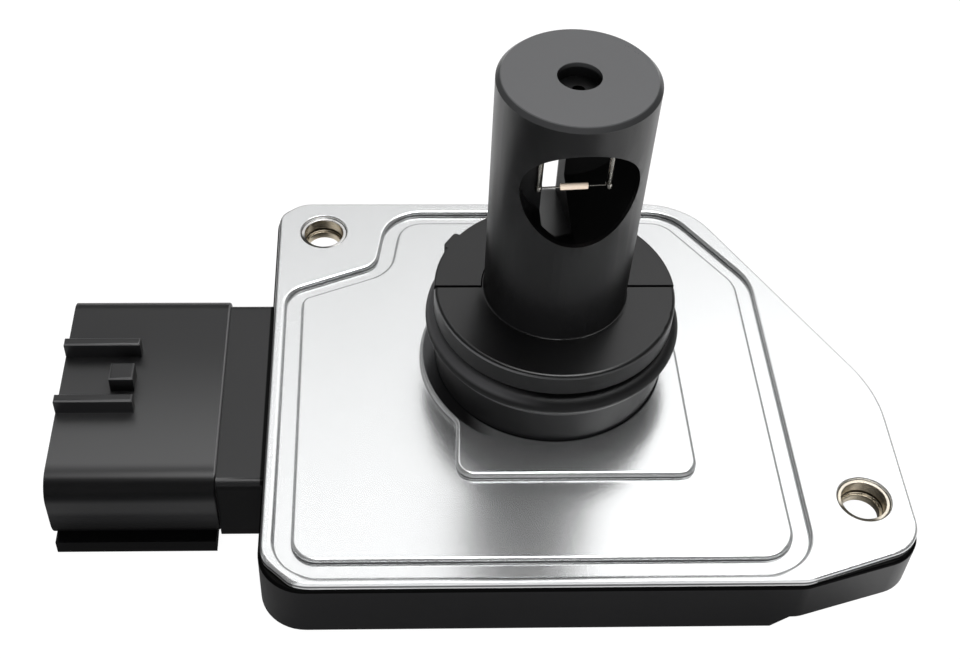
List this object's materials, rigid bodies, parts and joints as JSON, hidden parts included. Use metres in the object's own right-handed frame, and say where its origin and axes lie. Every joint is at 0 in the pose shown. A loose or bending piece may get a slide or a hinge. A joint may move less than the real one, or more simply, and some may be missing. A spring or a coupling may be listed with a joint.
{
  "type": "mass airflow sensor",
  "caption": "Plug-in mass airflow sensor: black probe with an air window and sealing ring on a pressed metal plate, over a black case with a side connector.",
  "frame": {"origin": "on the probe's axis, at the outside of the back cover, the face the part lies on", "axes": "+Z along the probe away from the plate, +X from the connector towards the ear, +Y away from the air window"},
  "size_m": [0.1029, 0.0639, 0.058],
  "materials": {
    "plated_sheet": "bright plated sheet",
    "plated_bush": "yellow plated steel",
    "sealant": "cured bead",
    "black_plastic": "fine moulded grain",
    "ring_rubber": "smooth, slightly oily",
    "pin_metal": "drawn wire",
    "wound_ceramic": "glass coated winding",
    "board_ceramic": "fired alumina",
    "chip_plastic": "moulded epoxy",
    "resistor_film": "printed and glazed",
    "capacitor_ceramic": "fired",
    "blade_metal": "tin plated"
  },
  "bodies": {
    "root": {"base_plate": "plated_sheet", "rear_bush": "plated_bush", "ear_bush": "plated_bush", "sealant": "sealant", "case": "black_plastic", "back_cover": "black_plastic", "probe_body": "black_plastic", "rear_flange": "black_plastic", "o_ring": "ring_rubber", "pin_left": "pin_metal", "pin_right": "pin_metal", "hot_wire": "wound_ceramic", "lead_left": "pin_metal", "lead_right": "pin_metal", "circuit_board": "board_ceramic", "control_chip": "chip_plastic", "power_transistor": "chip_plastic", "trim_resistor": "resistor_film", "capacitors": "capacitor_ceramic", "terminal_1": "blade_metal", "terminal_2": "blade_metal", "terminal_3": "blade_metal", "terminal_4": "blade_metal", "terminal_5": "blade_metal", "terminal_6": "blade_metal"}
  },
  "joints": []
}
